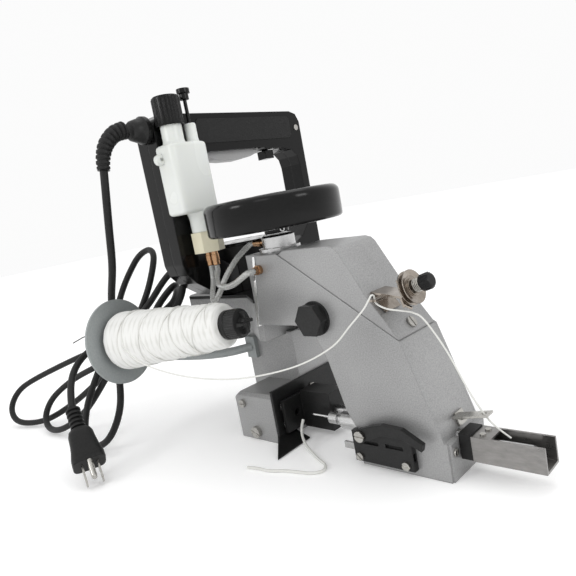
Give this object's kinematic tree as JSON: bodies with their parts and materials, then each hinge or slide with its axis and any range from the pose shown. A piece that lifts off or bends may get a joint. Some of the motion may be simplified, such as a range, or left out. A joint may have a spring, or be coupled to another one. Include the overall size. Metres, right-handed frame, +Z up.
{
  "type": "bag closer sewing machine",
  "caption": "Hand-held bag closing machine: chain stitch head on a looper leg and a needle arm, with motor, D handle, oil bottle, thread cone, handwheel and mains lead.",
  "frame": {"origin": "On the foot of the needle arm, straight under the needle bar's axis", "axes": "X along the needle bar, towards the operator's free end of the arm; Y along the bag's path, towards the motor; Z up"},
  "size_m": [0.5858, 0.3021, 0.306],
  "materials": {
    "grey_paint": "satin grey enamel with a fine metallic fleck",
    "black_paint": "satin black enamel",
    "steel": "machined and ground steel",
    "bright_steel": "polished plated steel",
    "dark_steel": "dark bronzed steel",
    "aluminium": "turned aluminium",
    "brass": "turned brass",
    "core": "laminated core with windings",
    "black_plastic": "glossy black plastic",
    "grip_plastic": "textured black plastic",
    "light_plastic": "light grey plastic",
    "milky_plastic": "translucent milky plastic",
    "cream_plastic": "cream plastic",
    "clear_tube": "clear ribbed tube",
    "black_rubber": "soft black rubber",
    "cotton": "spun white sewing thread"
  },
  "bodies": {
    "root": {"arm_housing": "grey_paint", "edge_strip": "bright_steel", "top_cover": "grey_paint", "rear_cover": "grey_paint", "bed_frame": "grey_paint", "motor_plate": "black_paint", "looper_cover": "grey_paint", "throat_plate": "black_paint", "needle_bushes": "brass", "lever_pin": "steel", "shaft_bearings": "steel", "drive_belt": "black_rubber", "motor_housing": "black_paint", "motor_cover": "black_plastic", "handle_outer": "black_plastic", "handle_inner": "black_plastic", "grip_pads": "grip_plastic", "oil_bottle": "milky_plastic", "bottle_nut": "cream_plastic", "oil_fittings": "brass", "oil_tubes": "clear_tube", "needle_guard": "dark_steel", "guard_gasket": "black_rubber", "thread_guide": "steel", "tension_bracket": "steel", "tension_discs": "bright_steel", "tension_spring": "steel", "presser_spring": "steel", "knife_cover": "black_paint", "hex_plug": "black_paint", "screws": "steel", "thread_stand": "grey_paint", "thread_cone": "cotton", "cone_cap": "black_plastic", "thread": "cotton", "thread_tail": "cotton", "strain_relief": "black_rubber", "power_cord": "black_rubber", "plug": "black_rubber"},
    "wheel": {"main_shaft": "steel", "driven_pulley": "aluminium", "handwheel": "black_plastic"},
    "armature": {"rotor": "core", "motor_pulley": "aluminium"},
    "needle_carriage": {"needle_bar": "steel", "needle": "bright_steel"},
    "lever": {"needle_lever": "steel"},
    "rod": {"connecting_rod": "steel"},
    "looper_arm": {"looper": "steel", "looper_shaft": "steel"},
    "feed": {"feed_dog": "steel"},
    "presser": {"presser_bar": "steel", "presser_foot": "black_paint"},
    "lifter": {"lifter_lever": "black_paint"},
    "cutter": {"knife": "steel"},
    "tension_dial": {"tension_knob": "black_plastic"},
    "trigger_paddle": {"trigger": "light_plastic"},
    "lock_button": {"trigger_lock": "black_plastic"},
    "bottle_cap": {"filler_cap": "black_plastic"},
    "plunger": {"oil_plunger": "black_plastic"}
  },
  "joints": [
    {"name": "wheel_spin", "type": "hinge", "parent": "root", "child": "wheel", "pos_m": [-0.103, 0.007, 0.19], "axis": [0, 0, 1], "continuous": true},
    {"name": "armature_spin", "type": "hinge", "parent": "root", "child": "armature", "pos_m": [-0.212, 0.064, 0.14], "axis": [0, 0, 1], "continuous": true},
    {"name": "needle_stroke", "type": "slide", "parent": "root", "child": "needle_carriage", "axis": [1, 0, 0], "range_m": [-0.034, 0]},
    {"name": "lever_swing", "type": "hinge", "parent": "root", "child": "lever", "pos_m": [-0.001, 0, 0.09], "axis": [0, 1, 0], "range_deg": [0, 28.1]},
    {"name": "rod_travel", "type": "slide", "parent": "root", "child": "rod", "axis": [1, 0, 0], "range_m": [0, 0.005]},
    {"name": "looper_swing", "type": "hinge", "parent": "root", "child": "looper_arm", "pos_m": [-0.15, 0.038, 0.05], "axis": [0, 0, 1], "range_deg": [-15.1, 0]},
    {"name": "feed_stroke", "type": "slide", "parent": "root", "child": "feed", "axis": [0, 1, 0], "range_m": [0, 0.003]},
    {"name": "cutter_stroke", "type": "slide", "parent": "root", "child": "cutter", "axis": [1, 0, 0], "range_m": [-0.004, 0]},
    {"name": "presser_lift", "type": "slide", "parent": "root", "child": "presser", "axis": [1, 0, 0], "range_m": [0, 0.006], "stiffness_N_per_m": 600, "springref_m": -0.004},
    {"name": "lifter_swing", "type": "hinge", "parent": "root", "child": "lifter", "pos_m": [-0.023, -0.0275, 0.027], "axis": [0, -1, 0], "range_deg": [0, 25.1]},
    {"name": "tension_turn", "type": "hinge", "parent": "root", "child": "tension_dial", "pos_m": [0.0217, -0.005, 0.1272], "axis": [0.9564, 0, 0.2921], "range_deg": [-360, 360]},
    {"name": "trigger_press", "type": "hinge", "parent": "root", "child": "trigger_paddle", "pos_m": [-0.2, 0.088, 0.2555], "axis": [-1, 0, 0], "range_deg": [0, 3.5], "stiffness_Nm_per_rad": 0.4, "springref_deg": -5.73},
    {"name": "lock_slide", "type": "slide", "parent": "root", "child": "lock_button", "axis": [0, 1, 0], "range_m": [0, 0.003]},
    {"name": "cap_turn", "type": "hinge", "parent": "root", "child": "bottle_cap", "pos_m": [-0.174, -0.022, 0.285], "axis": [0, 0, 1], "range_deg": [0, 360]},
    {"name": "plunger_push", "type": "slide", "parent": "root", "child": "plunger", "axis": [0, 0, 1], "range_m": [-0.01, 0], "stiffness_N_per_m": 250, "springref_m": 0.003}
  ],
  "couplings": [
    {"joint": "armature_spin", "follows": "wheel_spin", "ratio": 1.3},
    {"joint": "lever_swing", "follows": "needle_stroke", "rad_per_m": -14.41},
    {"joint": "rod_travel", "follows": "needle_stroke", "ratio": -0.147},
    {"joint": "looper_swing", "follows": "needle_stroke", "rad_per_m": 7.7},
    {"joint": "feed_stroke", "follows": "needle_stroke", "ratio": -0.088},
    {"joint": "cutter_stroke", "follows": "needle_stroke", "ratio": 0.117},
    {"joint": "lifter_swing", "follows": "presser_lift", "rad_per_m": 72.7}
  ]
}
